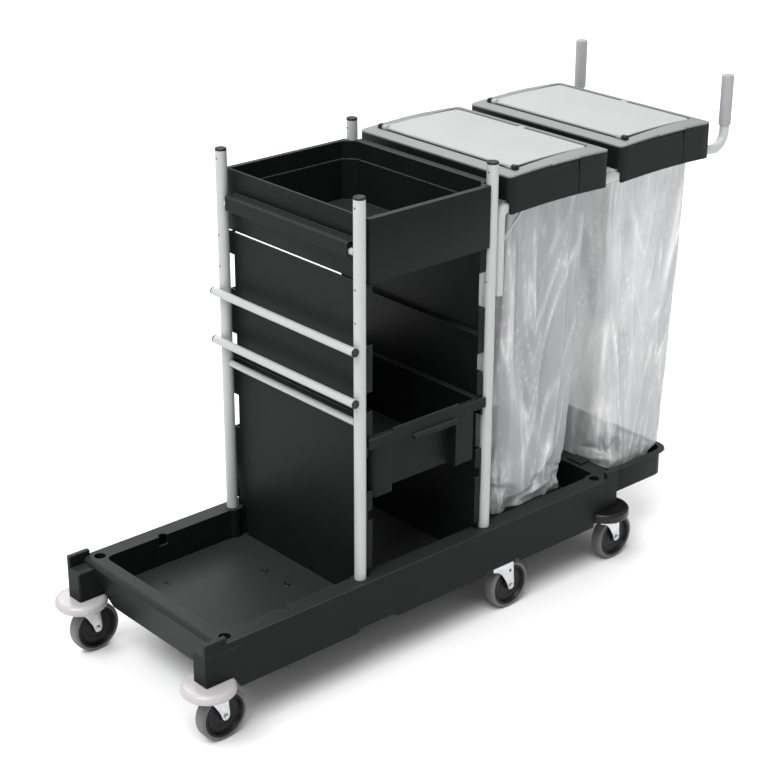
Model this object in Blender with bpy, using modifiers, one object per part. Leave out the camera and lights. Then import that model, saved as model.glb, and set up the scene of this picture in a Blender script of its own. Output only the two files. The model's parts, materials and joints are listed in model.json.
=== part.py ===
"""Housekeeping cart: a moulded base tray on six castors, a four-post cabinet with a drawer and a top bin,
and two lidded bag holders on a pair of side arms that end in upright push handles.

Metres, +Z up, floor at z = 0. Lengths along the cart are measured from the front of the base, and the empty
"cart" moves them so that the middle of the whole cart's footprint is the origin.
"""

import math

import bmesh
import bpy
from mathutils import Matrix, Vector

# ---- Driving dimensions -------------------------------------------------------------------------------
GAP = 0.0003  # between pieces that touch
BASE_LENGTH = 1.330
BASE_HALF_WIDTH = 0.275
BASE_BOTTOM = 0.1227
RIM = 0.247  # top of the base's walls
TRAY_FLOOR = 0.167
INNER_HALF_WIDTH = 0.230
SKIN = 0.0045  # wall of the base moulding

SOCKET_X = (0.075, 0.470, 0.870, 1.270)  # four pairs of post sockets, the middle two hold posts
SOCKET_Y = 0.2455
POST_RADIUS = 0.014
POST_BOTTOM = 0.1505
POST_TOP = 1.1705
POST_HOLES = (1.152, 0.9655, 0.888)

CASTOR_X = (0.020, 0.915, 1.308)  # swivel axes
CASTOR_Y = 0.254
CASTOR_TRAIL = 0.031
WHEEL_RADIUS = 0.0625
TYRE_INNER_RADIUS = 0.0528
WHEEL_HALF_WIDTH = 0.016
FORK_TOP = 0.130
CASTOR_SEAT = 0.1475  # underside of the bosses that the castors' heads turn under
BUMPER_RADIUS = 0.0637

CABINET_FRONT = 0.4865  # outer faces of the two side panels
CABINET_REAR = 0.8532
PANEL_HALF_WIDTH = 0.248
PANEL_TOP = 0.9705
PANEL_BEND = 0.377
NOTCHES = ((0.826, 0.915), (0.664, 0.713), (0.464, 0.552))  # cut right through the panels' edges
EDGE_GAPS = ((0.552, 0.605), (0.389, 0.415))  # cut only through the panels' turned edges
RUNNERS = (0.755, 0.589, 0.425)  # undersides of the runner ledges

BIN_FRONT, BIN_REAR = 0.489, 0.885
BIN_HALF_WIDTH = 0.257
BIN_BOTTOM, BIN_TOP = 0.974, 1.1236
BIN_STEP = 1.0795
TUBE_RADIUS = 0.008
HOOK_TUBE = 1.046
LOW_TUBE = 0.640
REAR_TUBE = 0.9615
RAIL_RADIUS = 0.010
RAIL_HEIGHTS = (0.8255, 0.7013)
RAIL_X = 0.4455
RAIL_HALF_LENGTH = 0.257

DRAWER_FRONT = -0.2575
DRAWER_BOTTOM, DRAWER_TOP = 0.443, 0.600

ARM_RADIUS = 0.0125
ARM_HEIGHT = 1.0565
ARM_Y = 0.245
ARM_LEG_X = 0.897
ARM_LEG_BOTTOM = 0.847
HANDLE_X = 1.691
HANDLE_Y = 0.2504
GRIP_BOTTOM, GRIP_TOP = 1.1135, 1.2425
GRIP_RADIUS = 0.0155

LID_X = (0.909, 1.2865)  # front edges of the two lid units
LID_LENGTH = 0.337
LID_HALF_WIDTH = 0.262
SKIRT_BOTTOM = 1.0411
DECK_TOP = 1.1305
RING_TOP = 1.1349  # along its outer edge
RING_CREST = 1.1414  # along its inner edge
FLAP_TOP = 1.1399
LID_ARCH = 0.005  # how far the middle of a lid unit stands above its two ends
RING_INNER_HALF = 0.2295
RING_REAR = 0.035
LATCH = (0.137, 0.230)  # from a lid unit's front edge
HINGE_HEIGHT = 1.1405
HINGE_INSET = 0.046  # hinge axis behind a lid unit's front edge
BARREL_RADIUS = 0.0042
KNUCKLE_RADIUS = 0.0070
KNOB_RADIUS = 0.0080
KNOB_END = 0.2390

EXTENSION_END = 1.565
EXTENSION_BOTTOM = 0.174

MIDDLE = (CASTOR_X[0] - BUMPER_RADIUS + HANDLE_X + GRIP_RADIUS) / 2

SIDES = (("near", -1), ("far", 1))

# ---- Materials: colour, roughness, metallic -----------------------------------------------------------
MATERIALS = {
    "black_plastic": ((0.022, 0.024, 0.023), 0.45, 0.0),
    "post_paint": ((0.70, 0.70, 0.70), 0.35, 0.0),
    "cap_plastic": ((0.012, 0.012, 0.012), 0.5, 0.0),
    "bumper_grey": ((0.60, 0.58, 0.59), 0.4, 0.0),
    "tyre_grey": ((0.22, 0.22, 0.22), 0.55, 0.0),
    "hub_black": ((0.012, 0.012, 0.012), 0.4, 0.0),
    "zinc": ((0.62, 0.62, 0.62), 0.3, 1.0),
    "ring_grey": ((0.33, 0.34, 0.34), 0.5, 0.0),
    "flap_grey": ((0.68, 0.69, 0.69), 0.5, 0.0),
    "grip_grey": ((0.50, 0.50, 0.51), 0.6, 0.0),
    "bag_film": ((0.80, 0.81, 0.82), 0.35, 0.0),
}


# ---- Scene and modelling helpers ----------------------------------------------------------------------
def clear_scene():
    for found in list(bpy.data.objects):
        bpy.data.objects.remove(found)


def make_material(name):
    colour, roughness, metallic = MATERIALS[name]
    material = bpy.data.materials.new(name)
    material.use_nodes = True
    shader = material.node_tree.nodes["Principled BSDF"]
    shader.inputs["Base Color"].default_value = (*colour, 1.0)
    shader.inputs["Roughness"].default_value = roughness
    shader.inputs["Metallic"].default_value = metallic
    material.diffuse_color = (*colour, 1.0)
    return material


def place(name, data):
    piece = bpy.data.objects.new(name, data)
    bpy.context.scene.collection.objects.link(piece)
    return piece


def keep(piece, material, smooth=True):
    """Finish a sub-part: its material, its shading and its place in the cart."""
    piece.data.materials.clear()
    piece.data.materials.append(PAINTS[material])
    if smooth and piece.type == "MESH":
        piece.data.shade_smooth()
        piece.data.set_sharp_from_angle(angle=math.radians(35))
    bpy.context.scene.collection.objects.unlink(piece)
    PARTS.objects.link(piece)
    piece.parent = CART
    return piece


def freeze(piece):
    """Turn a piece and its modifiers into a plain closed mesh."""
    bpy.context.view_layer.update()
    evaluated = piece.evaluated_get(bpy.context.evaluated_depsgraph_get())
    mesh = bpy.data.meshes.new_from_object(evaluated)
    weld = bmesh.new()
    weld.from_mesh(mesh)
    bmesh.ops.remove_doubles(weld, verts=weld.verts, dist=1e-6)
    bmesh.ops.recalc_face_normals(weld, faces=weld.faces)
    weld.to_mesh(mesh)
    weld.free()
    if piece.type == "MESH":
        piece.modifiers.clear()
        piece.data = mesh
        return piece
    solid = place(piece.name + "_solid", mesh)
    solid.matrix_world = piece.matrix_world
    bpy.data.objects.remove(piece)
    return solid


def combine(piece, tools, operation):
    for tool in tools:
        boolean = piece.modifiers.new(tool.name, "BOOLEAN")
        boolean.operation = operation
        boolean.object = tool
    freeze(piece)
    for tool in tools:
        bpy.data.objects.remove(tool)
    return piece


def join(piece, *tools):
    return combine(piece, tools, "UNION")


def cut(piece, *tools):
    return combine(piece, tools, "DIFFERENCE")


def soften(piece, width, segments=2):
    """Round a solid's sharp edges."""
    bevel = piece.modifiers.new("Bevel", "BEVEL")
    bevel.width = width
    bevel.segments = segments
    bevel.limit_method = "ANGLE"
    bevel.angle_limit = math.radians(40)
    return freeze(piece)


def box(low, high, name="box"):
    shape = bmesh.new()
    bmesh.ops.create_cube(shape, size=1)
    size = [abs(b - a) for a, b in zip(low, high)]
    centre = [(a + b) / 2 for a, b in zip(low, high)]
    bmesh.ops.scale(shape, vec=size, verts=shape.verts)
    bmesh.ops.translate(shape, vec=centre, verts=shape.verts)
    mesh = bpy.data.meshes.new(name)
    shape.to_mesh(mesh)
    shape.free()
    return place(name, mesh)


def rod(radius, start, end, sides=24, end_radius=None, name="rod"):
    """A cylinder or cone between two points."""
    start, end = Vector(start), Vector(end)
    shape = bmesh.new()
    bmesh.ops.create_cone(
        shape,
        cap_ends=True,
        segments=sides,
        radius1=radius,
        radius2=radius if end_radius is None else end_radius,
        depth=(end - start).length,
    )
    turn = (end - start).to_track_quat("Z", "Y").to_matrix().to_4x4()
    bmesh.ops.transform(shape, matrix=Matrix.Translation((start + end) / 2) @ turn, verts=shape.verts)
    mesh = bpy.data.meshes.new(name)
    shape.to_mesh(mesh)
    shape.free()
    return place(name, mesh)


def plate(outline, low, high, along="Z", name="plate"):
    """A flat outline given a thickness: along Z it lies in XY, and along Y it stands in XZ."""
    data = bpy.data.curves.new(name, "CURVE")
    data.dimensions = "2D"
    data.fill_mode = "BOTH"
    data.extrude = (high - low) / 2
    spline = data.splines.new("POLY")
    spline.points.add(len(outline) - 1)
    for point, (u, v) in zip(spline.points, outline):
        point.co = (u, v, 0, 1)
    spline.use_cyclic_u = True
    solid = freeze(place(name, data))
    turn = Matrix.Rotation(math.pi / 2, 4, "X") if along == "Y" else Matrix()
    middle = (low + high) / 2
    shift = Matrix.Translation((0, middle, 0) if along == "Y" else (0, 0, middle))
    solid.data.transform(shift @ turn)
    return solid


def arc(centre, radius, first, last, steps):
    angles = [math.radians(first + (last - first) * k / steps) for k in range(steps + 1)]
    return [(centre[0] + radius * math.cos(a), centre[1] + radius * math.sin(a)) for a in angles]


def rounded(x0, x1, half_width, radius, steps=3):
    """The outline of a rectangle with round corners, from x0 to x1 and equally wide to both sides."""
    y1 = half_width
    corners = ((x1 - radius, y1 - radius), (x0 + radius, y1 - radius))
    corners += ((x0 + radius, radius - y1), (x1 - radius, radius - y1))
    points = []
    for quarter, centre in enumerate(corners):
        points += arc(centre, radius, 90 * quarter, 90 * quarter + 90, steps)
    return points


def turned(profile, steps, ring, name="turned"):
    """A profile of (radius, height) points turned about Z, down its outer side. A ring's is closed."""
    mesh = bpy.data.meshes.new(name)
    count = len(profile)
    edges = [(k, (k + 1) % count) for k in range(count if ring else count - 1)]
    mesh.from_pydata([(r, 0, z) for r, z in profile], edges, [])
    piece = place(name, mesh)
    screw = piece.modifiers.new("Screw", "SCREW")
    screw.steps = screw.render_steps = steps
    screw.use_merge_vertices = True
    screw.merge_threshold = 0.00001
    return freeze(piece)


def filleted(route, radii, steps=6):
    """A route of straight runs whose corners are arcs. radii has one radius for each inner point, or 0."""
    points = [Vector(route[0])]
    for before, corner, after, radius in zip(route, route[1:], route[2:], radii):
        corner = Vector(corner)
        if not radius:
            points.append(corner)
            continue
        back = (Vector(before) - corner).normalized()
        on = (Vector(after) - corner).normalized()
        half = back.angle(on) / 2
        centre = corner + (back + on).normalized() * radius / math.sin(half)
        reach = radius / math.tan(half)
        start, end = corner + back * reach - centre, corner + on * reach - centre
        points += [centre + start.slerp(end, k / steps) * radius for k in range(steps + 1)]
    return points + [Vector(route[-1])]


def bar(route, radius, name="bar"):
    """A round bar along a route."""
    data = bpy.data.curves.new(name, "CURVE")
    data.dimensions = "3D"
    data.bevel_depth = radius
    data.bevel_resolution = 2
    data.use_fill_caps = True
    spline = data.splines.new("POLY")
    spline.points.add(len(route) - 1)
    for point, position in zip(spline.points, route):
        point.co = (*position, 1)
    return freeze(place(name, data))


def lie_along_y(piece):
    piece.data.transform(Matrix.Rotation(math.pi / 2, 4, "X"))
    return piece


def renamed(piece, name):
    piece.name = name
    piece.data.name = name
    return piece


# ---- Base tray ----------------------------------------------------------------------------------------
def base_shell():
    """The outer block, whose front wall leans out to a rounded top, with its corner blocks."""
    proud = 0.0004
    wide, end = BASE_HALF_WIDTH - proud, BASE_LENGTH - proud
    front = [(0.078, BASE_BOTTOM), (end, BASE_BOTTOM), (end, RIM)]
    front += arc((0.054, RIM - 0.014), 0.014, 90, 170, 4)
    shell = soften(plate(front, -wide, wide, "Y"), 0.003, 1)
    for _, side in SIDES:
        outer, ledge = side * BASE_HALF_WIDTH, side * 0.225
        guard = side * (BASE_HALF_WIDTH - 0.013)
        block = soften(box((0, ledge, 0.1500), (0.100, outer, 0.232)), 0.003, 1)
        front_guard = soften(box((0.0004, guard, 0.170), (0.0585, outer - side * 0.0002, 0.2635)), 0.002, 1)
        rear_guard = soften(box((1.2875, guard, 0.200), (BASE_LENGTH, outer, 0.2660)), 0.002, 1)
        join(shell, block, front_guard, rear_guard)
    return shell


def castor_notch(middle):
    """Room in the skirt for a castor's fork to swing under it."""
    low, high = BASE_BOTTOM - 0.01, 0.1327
    wide, narrow = 0.0635, 0.053
    outline = [(middle - wide, low), (middle + wide, low), (middle + wide, BASE_BOTTOM)]
    outline += [(middle + narrow, high), (middle - narrow, high), (middle - wide, BASE_BOTTOM)]
    return plate(outline, -0.3, 0.3, "Y")


def base_hollows(shell):
    inside = INNER_HALF_WIDTH
    below = BASE_BOTTOM - 0.01
    rear_wall = BASE_LENGTH - SKIN
    cut(shell, plate(rounded(0.080, 1.288, inside, 0.018), TRAY_FLOOR, RIM + 0.03))
    cut(shell, plate(rounded(0.092, 1.284, inside - SKIN, 0.015), below, TRAY_FLOOR - SKIN))
    channels = [
        box((0.098, side * (inside + SKIN), below), (rear_wall, side * (BASE_HALF_WIDTH - SKIN), RIM - SKIN))
        for _, side in SIDES
    ]
    cut(shell, *channels)
    cut(shell, box((1.2925, SKIN - inside, below), (rear_wall, inside - SKIN, RIM - SKIN)))
    skirt = BASE_HALF_WIDTH - SKIN
    cut(shell, box((0.098, -skirt, below), (rear_wall, skirt, 0.134)))
    return shell


def base_bosses(shell):
    bosses = []
    for _, side in SIDES:
        for x in SOCKET_X:
            radius = 0.0195 if x == SOCKET_X[0] else 0.023
            bosses.append(rod(radius, (x, side * SOCKET_Y, 0.140), (x, side * SOCKET_Y, RIM - 0.0006), 20))
        for x in CASTOR_X[1:]:
            bosses.append(rod(0.0163, (x, side * CASTOR_Y, CASTOR_SEAT), (x, side * CASTOR_Y, 0.2462), 16))
    return join(shell, *bosses)


def base_openings(shell):
    holes = []
    for _, side in SIDES:
        post_y, castor_y = side * SOCKET_Y, side * CASTOR_Y
        for x in SOCKET_X:
            depth = 0.165 if x == SOCKET_X[0] else POST_BOTTOM - 0.0008
            holes.append(rod(POST_RADIUS + 0.0006, (x, post_y, depth), (x, post_y, RIM + 0.01), 16))
        front = CASTOR_X[0]
        holes.append(rod(0.0815, (front, castor_y, 0.1150), (front, castor_y, 0.1549), 28, 0.059))
        for x in CASTOR_X:
            holes.append(rod(0.0065, (x, castor_y, 0.110), (x, castor_y, 0.176), 12))
        wall = side * INNER_HALF_WIDTH
        holes.append(rod(0.013, (0.2475, wall, 0.221), (0.2475, wall, RIM + 0.01), 16))
        outer = side * BASE_HALF_WIDTH
        for x in (0.027, 0.050):
            holes.append(rod(0.0028, (x, outer - side * 0.006, 0.248), (x, outer + side * 0.01, 0.248), 8))
        for x in (0.888, 0.911):
            holes.append(rod(0.0028, (x, side * 0.264, RIM - 0.003), (x, side * 0.264, RIM + 0.01), 8))
    for x, y in ((0.1975, 0.151), (0.1975, -0.151), (0.411, 0.043), (0.411, -0.043)):
        holes.append(rod(0.004, (x, y, TRAY_FLOOR - 0.02), (x, y, TRAY_FLOOR + 0.02), 10))
    cut(shell, *holes)
    cut(shell, castor_notch(0.499), castor_notch(CASTOR_X[1]))
    return cut(shell, box((1.2445, -0.3, 0.11), (BASE_LENGTH + 0.02, 0.3, 0.1327)))


def base_tray():
    shell = base_openings(base_bosses(base_hollows(base_shell())))
    keep(renamed(shell, "base_tray"), "black_plastic")


def extension_tray():
    body = plate(rounded(1.3335, 1.553, 0.240, 0.030), EXTENSION_BOTTOM, 0.2445)
    join(body, soften(plate(rounded(1.3320, EXTENSION_END, 0.2525, 0.040), 0.2420, RIM), 0.001))
    for _, side in SIDES:
        join(body, box((1.3330, side * 0.120, 0.200), (1.3365, side * 0.170, 0.2515)))
    cut(body, plate(rounded(1.3365, 1.550, 0.237, 0.027), EXTENSION_BOTTOM + 0.003, RIM + 0.02))
    for _, side in SIDES:
        join(body, box((1.3020, side * 0.120, RIM + GAP), (1.3364, side * 0.170, 0.2515)))
    keep(renamed(body, "extension_tray"), "black_plastic")


# ---- Castors and bumpers ------------------------------------------------------------------------------
def fork_shape():
    """A castor's pressed fork with its swivel head, stem and axle. Its origin is on the swivel axis."""
    axle = (CASTOR_TRAIL, WHEEL_RADIUS)
    leg = [(-0.033, FORK_TOP), (0.036, FORK_TOP), (0.0412, 0.066)]
    leg += arc(axle, 0.0100, -20, -170, 4)
    leg += [(0.009, 0.095), (-0.009, 0.112), (-0.033, 0.1205)]
    inner, outer = WHEEL_HALF_WIDTH + 0.0015, WHEEL_HALF_WIDTH + 0.004
    crown = soften(box((-0.0325, -0.0185, FORK_TOP - 0.0025), (0.0355, 0.0185, FORK_TOP - 0.0001)), 0.001, 1)
    for _, side in SIDES:
        low, high = sorted((side * inner, side * outer))
        join(crown, plate(leg, low, high, "Y"))
    head = [(0, 0.172), (0.006, 0.172), (0.006, 0.1462), (0.0125, 0.1462), (0.015, 0.1435)]
    head += [(0.015, 0.1290), (0, 0.1290)]
    join(crown, turned(head, 10, ring=False))
    bolt = [(0, 0.0235), (0.005, 0.0235), (0.0065, 0.0220), (0.0065, 0.0195), (0.004, 0.0195)]
    bolt += [(radius, -length) for radius, length in reversed(bolt)]
    pin = lie_along_y(turned(bolt, 10, ring=False))
    pin.data.transform(Matrix.Translation((axle[0], 0, axle[1])))
    join(crown, pin)
    return cut(crown, box((0.0235, -0.03, 0.1035), (0.0305, 0.03, 0.1105)))


def hub_shape():
    """A dished wheel disc with a rim lip and a boss, about its own axle."""
    half = WHEEL_HALF_WIDTH - 0.0006
    rim = TYRE_INNER_RADIUS - 0.0008
    face = [(0.0045, half), (0.012, half), (0.014, 0.0085), (0.0465, 0.0085), (0.0485, half), (rim, half)]
    profile = face + [(radius, -height) for radius, height in reversed(face)]
    return lie_along_y(turned(profile, 16, ring=True))


def tyre_shape():
    half = WHEEL_HALF_WIDTH
    profile = [(TYRE_INNER_RADIUS, half)] + arc((WHEEL_RADIUS - 0.006, half - 0.006), 0.006, 80, 0, 2)
    profile += [(radius, -height) for radius, height in reversed(profile)]
    return lie_along_y(turned(profile, 24, ring=True))


def castors():
    shapes = {"fork": fork_shape(), "hub": hub_shape(), "tyre": tyre_shape()}
    paints = {"fork": "zinc", "hub": "hub_black", "tyre": "tyre_grey"}
    for row, x in zip(("front", "middle", "rear"), CASTOR_X):
        for name, side in SIDES:
            for kind, shape in shapes.items():
                piece = place(f"castor_{kind}_{row}_{name}", shape.data)
                piece.location = (x, side * CASTOR_Y, 0)
                if kind != "fork":
                    piece.location += Vector((CASTOR_TRAIL, 0, WHEEL_RADIUS))
                keep(piece, paints[kind])
    for shape in shapes.values():
        bpy.data.objects.remove(shape)


def front_bumpers():
    """Soft rings round the front castors' heads, each with a web that the stem goes through."""
    tube = 0.0131
    centre = (BUMPER_RADIUS - tube, 0.1412)
    profile = [(0.0075, 0.1543)] + arc(centre, tube, 90, -210, 10) + [(0.0075, 0.1478)]
    for name, side in SIDES:
        ring = turned(profile, 24, ring=True)
        ring.data.transform(Matrix.Translation((CASTOR_X[0], side * CASTOR_Y, 0)))
        keep(renamed(ring, f"front_bumper_{name}"), "bumper_grey")


def rear_bumpers():
    """Three quarters of a thick disc round each rear corner."""
    low, high, edge = 0.1335, 0.1600, BUMPER_RADIUS
    profile = [(0, high), (edge - 0.006, high), (edge - 0.0015, high - 0.002), (edge, high - 0.006)]
    profile += [(radius, low + high - height) for radius, height in reversed(profile)]
    for name, side in SIDES:
        disc = turned(profile, 28, ring=False)
        disc.data.transform(Matrix.Translation((CASTOR_X[2], side * CASTOR_Y, 0)))
        corner = BASE_HALF_WIDTH + GAP
        cut(disc, box((1.0, -corner, 0.1), (BASE_LENGTH + GAP, corner, 0.2)))
        keep(renamed(disc, f"rear_bumper_{name}"), "black_plastic")


# ---- Posts, cross tubes and rails ---------------------------------------------------------------------
def pipe(radius, wall, low, high, steps=16):
    inner = radius - wall
    return turned([(inner, high), (radius, high), (radius, low), (inner, low)], steps, ring=True)


def posts():
    cap = [(0, 0.0042), (0.0085, 0.0042), (0.0100, 0.0058), (0.0125, 0.0058), (0.014, 0.0045)]
    cap += [(0.014, GAP), (0.0122, GAP), (0.0122, -0.012), (0, -0.012)]
    for row, x in zip(("front", "rear"), SOCKET_X[1:3]):
        for name, side in SIDES:
            y = side * SOCKET_Y
            post = pipe(POST_RADIUS, 0.0015, POST_BOTTOM, POST_TOP)
            post.data.transform(Matrix.Translation((x, y, 0)))
            cut(post, *[rod(0.0026, (x - 0.02, y, z), (x - 0.006, y, z), 8) for z in POST_HOLES])
            keep(renamed(post, f"post_{row}_{name}"), "post_paint")
            top = turned(cap, 16, ring=False)
            top.data.transform(Matrix.Translation((x, y, POST_TOP)))
            keep(renamed(top, f"post_cap_{row}_{name}"), "cap_plastic")


def cross_tubes():
    """Tubes between the two posts of a pair."""
    reach = SOCKET_Y - POST_RADIUS - GAP
    front, rear = SOCKET_X[1], SOCKET_X[2]
    tubes = (("front_upper_tube", front, HOOK_TUBE), ("front_lower_tube", front, LOW_TUBE))
    tubes += (("rear_upper_tube", rear, REAR_TUBE), ("rear_lower_tube", rear, LOW_TUBE))
    for name, x, z in tubes:
        tube = lie_along_y(pipe(TUBE_RADIUS, 0.0012, -reach, reach, 12))
        tube.data.transform(Matrix.Translation((x, 0, z)))
        keep(renamed(tube, name), "post_paint")


def hanging_rails():
    """Two rails across the outside of the front posts, with a plug in each end."""
    cap = [(0, 0.0045), (0.008, 0.0045), (RAIL_RADIUS, 0.003), (RAIL_RADIUS, GAP), (0.0082, GAP)]
    cap += [(0.0082, -0.010), (0, -0.010)]
    for row, z in zip(("upper", "lower"), RAIL_HEIGHTS):
        rail = lie_along_y(pipe(RAIL_RADIUS, 0.0015, -RAIL_HALF_LENGTH, RAIL_HALF_LENGTH, 12))
        rail.data.transform(Matrix.Translation((RAIL_X, 0, z)))
        keep(renamed(rail, f"hanging_rail_{row}"), "post_paint")
        for name, side in SIDES:
            plug = turned(cap, 12, ring=False)
            plug.data.transform(Matrix.Rotation(-side * math.pi / 2, 4, "X"))
            plug.data.transform(Matrix.Translation((RAIL_X, side * RAIL_HALF_LENGTH, z)))
            keep(renamed(plug, f"rail_cap_{row}_{name}"), "cap_plastic")


# ---- Cabinet ------------------------------------------------------------------------------------------
def side_panel(name, face, inward):
    """A cabinet panel. face is its outer face, and inward is the way to the cabinet's middle, +1 or -1."""

    def x(depth):
        return face + inward * depth

    def block(near, far, y, z):
        return box((x(near), y[0], z[0]), (x(far), y[1], z[1]))

    foot = TRAY_FLOOR + 0.0005
    outline = [(x(0), PANEL_TOP), (x(0.004), PANEL_TOP), (x(0.004), PANEL_BEND), (x(0.0135), foot)]
    outline += [(x(0.0095), foot), (x(0), PANEL_BEND)]
    panel = plate(outline, -PANEL_HALF_WIDTH, PANEL_HALF_WIDTH, "Y")
    for _, side in SIDES:
        edge = (side * (PANEL_HALF_WIDTH - 0.0035), side * PANEL_HALF_WIDTH)
        join(panel, block(0.0021, 0.0185, edge, (RIM + 0.02, PANEL_TOP - 0.002)))
        gaps = [block(0.0055, 0.03, (side * 0.2, side * 0.3), gap) for gap in EDGE_GAPS]
        gaps += [block(-0.01, 0.03, (side * 0.2275, side * 0.3), gap) for gap in NOTCHES]
        gaps.append(block(-0.01, 0.03, (side * 0.2195, side * 0.3), (0.1, RIM + GAP)))
        cut(panel, *gaps)
    join(panel, *[block(0.002, 0.018, (-0.2425, 0.2425), (z, z + 0.0065)) for z in RUNNERS])
    cut(panel, block(-0.01, 0.0018, (-0.3, 0.3), (0.651, 0.663)))
    keep(renamed(panel, name), "black_plastic")


def top_bin():
    """A tub with thick rims on three sides and a hook along its front that hangs on the upper tube."""
    tub = soften(plate(rounded(BIN_FRONT, BIN_REAR, BIN_HALF_WIDTH, 0.006, 3), BIN_BOTTOM, BIN_TOP), 0.0015)
    for _, side in SIDES:
        cut(tub, box((0.8545, side * 0.2285, 0.9), (0.9, side * 0.3, 1.2)))

    def hollow(rim, low, high):
        near, rear, chamfer = BIN_HALF_WIDTH - rim, BIN_REAR - rim - 0.0095, 0.026
        front = BIN_FRONT + 0.0035
        outline = [(front, -near), (rear - chamfer, -near), (rear, chamfer - near)]
        outline += [(rear, near - chamfer), (rear - chamfer, near), (front, near)]
        return plate(outline, low, high)

    cut(tub, hollow(0.0135, BIN_STEP, BIN_TOP + 0.01), hollow(0.0175, BIN_BOTTOM + 0.003, BIN_STEP + 0.001))
    low, high = BIN_BOTTOM - 0.01, BIN_TOP - 0.0045
    for _, side in SIDES:
        cut(tub, box((0.495, side * 0.2465, low), (0.850, side * 0.2540, high)))
    cut(tub, box((0.8660, -0.222, low), (0.8820, 0.222, high)))
    hook = [(0.4905, 1.0690), (0.4600, 1.0690), (0.4570, 1.0660), (0.4570, 1.0335)]
    hook += [(0.4603, 1.0335), (0.4603, 1.0560), (0.4905, 1.0560)]
    join(tub, plate(hook, -0.2185, 0.2185, "Y"))
    keep(renamed(tub, "top_bin"), "black_plastic")


def drawer():
    """A tray that slides out on the runners. Its front is set back between two columns, under its grip."""
    front, face, setback, wall = DRAWER_FRONT, -0.247, 0.028, 0.003
    recess_left, recess_right, recess_top = 0.566, 0.7685, 0.574
    tray = plate(rounded(0.507, 0.833, 0.241, 0.012), DRAWER_BOTTOM, DRAWER_TOP - 0.001)
    rim = plate(rounded(0.4947, 0.8453, 0.2485, 0.004, 2), DRAWER_TOP - 0.0035, DRAWER_TOP)
    for shape in (tray, rim):
        shape.data.transform(Matrix.Translation((0, -0.006, 0)))
    lip = soften(box((0.4875, front, 0.5740), (0.8560, front + 0.0042, DRAWER_TOP)), 0.001, 1)
    raised = soften(box((0.560, front - 0.0004, 0.5900), (0.768, front + 0.0038, 0.6095)), 0.001, 1)
    grip = soften(box((0.621, front - 0.0075, 0.5610), (0.758, front + 0.003, 0.5755)), 0.002, 1)
    cut(tray, box((recess_left, face - 0.01, 0.4), (recess_right, face + setback, recess_top)))
    join(tray, rim, lip, raised, grip)
    hollow = plate(rounded(0.510, 0.830, 0.238, 0.010), DRAWER_BOTTOM + wall, DRAWER_TOP + 0.02)
    hollow.data.transform(Matrix.Translation((0, -0.006, 0)))
    left, right, top = recess_left - wall, recess_right + wall, recess_top + wall
    cut(hollow, box((left, face - 0.01, 0.4), (right, face + setback + wall, top)))
    cut(tray, hollow)
    keep(renamed(tray, "drawer"), "black_plastic")


# ---- Bag section --------------------------------------------------------------------------------------
def side_arms():
    """A tube up the rear post, along under the lids and up into the handle, with a strut in its corner."""
    for name, side in SIDES:
        y, handle_y = side * ARM_Y, side * HANDLE_Y
        route = [(ARM_LEG_X, y, ARM_LEG_BOTTOM), (ARM_LEG_X, y, ARM_HEIGHT), (1.6225, y, ARM_HEIGHT)]
        route += [(1.650, handle_y, ARM_HEIGHT), (HANDLE_X, handle_y, ARM_HEIGHT)]
        route += [(HANDLE_X, handle_y, GRIP_TOP - 0.013)]
        path = filleted(route, (0.020, 0, 0, 0.040))
        arm = bar(path, ARM_RADIUS)
        join(arm, rod(0.003, (0.902, y, 0.9690), (0.984, y, 1.0540), 10))
        up = Vector((0, 0, 0.002))
        cut(arm, bar([path[0] - up] + path[1:-1] + [path[-1] + up], ARM_RADIUS - 0.0018))
        keep(renamed(arm, f"side_arm_{name}"), "post_paint")


def handle_grips():
    bore = ARM_RADIUS + 0.0006
    profile = [(0, GRIP_TOP), (0.0120, GRIP_TOP), (0.0145, GRIP_TOP - 0.0010)]
    profile += [(GRIP_RADIUS, GRIP_TOP - 0.0035), (GRIP_RADIUS, GRIP_BOTTOM + 0.002)]
    profile.append((GRIP_RADIUS - 0.001, GRIP_BOTTOM))
    profile += [(bore, GRIP_BOTTOM), (bore, GRIP_TOP - 0.0115), (0, GRIP_TOP - 0.0115)]
    for name, side in SIDES:
        grip = turned(profile, 16, ring=False)
        grip.data.transform(Matrix.Translation((HANDLE_X, side * HANDLE_Y, 0)))
        keep(renamed(grip, f"handle_grip_{name}"), "grip_grey")


def arched(piece, front):
    """Raise a lid piece in the middle of the unit's length, in steps short enough to look curved."""
    steps, half = 10, LID_LENGTH / 2
    shape = bmesh.new()
    shape.from_mesh(piece.data)
    for k in range(1, steps):
        everything = shape.verts[:] + shape.edges[:] + shape.faces[:]
        here = (front + LID_LENGTH * k / steps, 0, 0)
        bmesh.ops.bisect_plane(shape, geom=everything, plane_co=here, plane_no=(1, 0, 0))
    for vertex in shape.verts:
        along = (vertex.co.x - front - half) / half
        vertex.co.z += LID_ARCH * (1 - along * along)
    shape.to_mesh(piece.data)
    shape.free()
    return piece


def knob_pockets(front):
    """Room for the hinge rod's two knobs and the knuckles between them."""
    x, z = front + HINGE_INSET, HINGE_HEIGHT
    start, end = 0.2070, KNOB_END + 0.0015
    return [rod(KNOB_RADIUS + 0.0008, (x, side * start, z), (x, side * end, z), 20) for _, side in SIDES]


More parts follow.
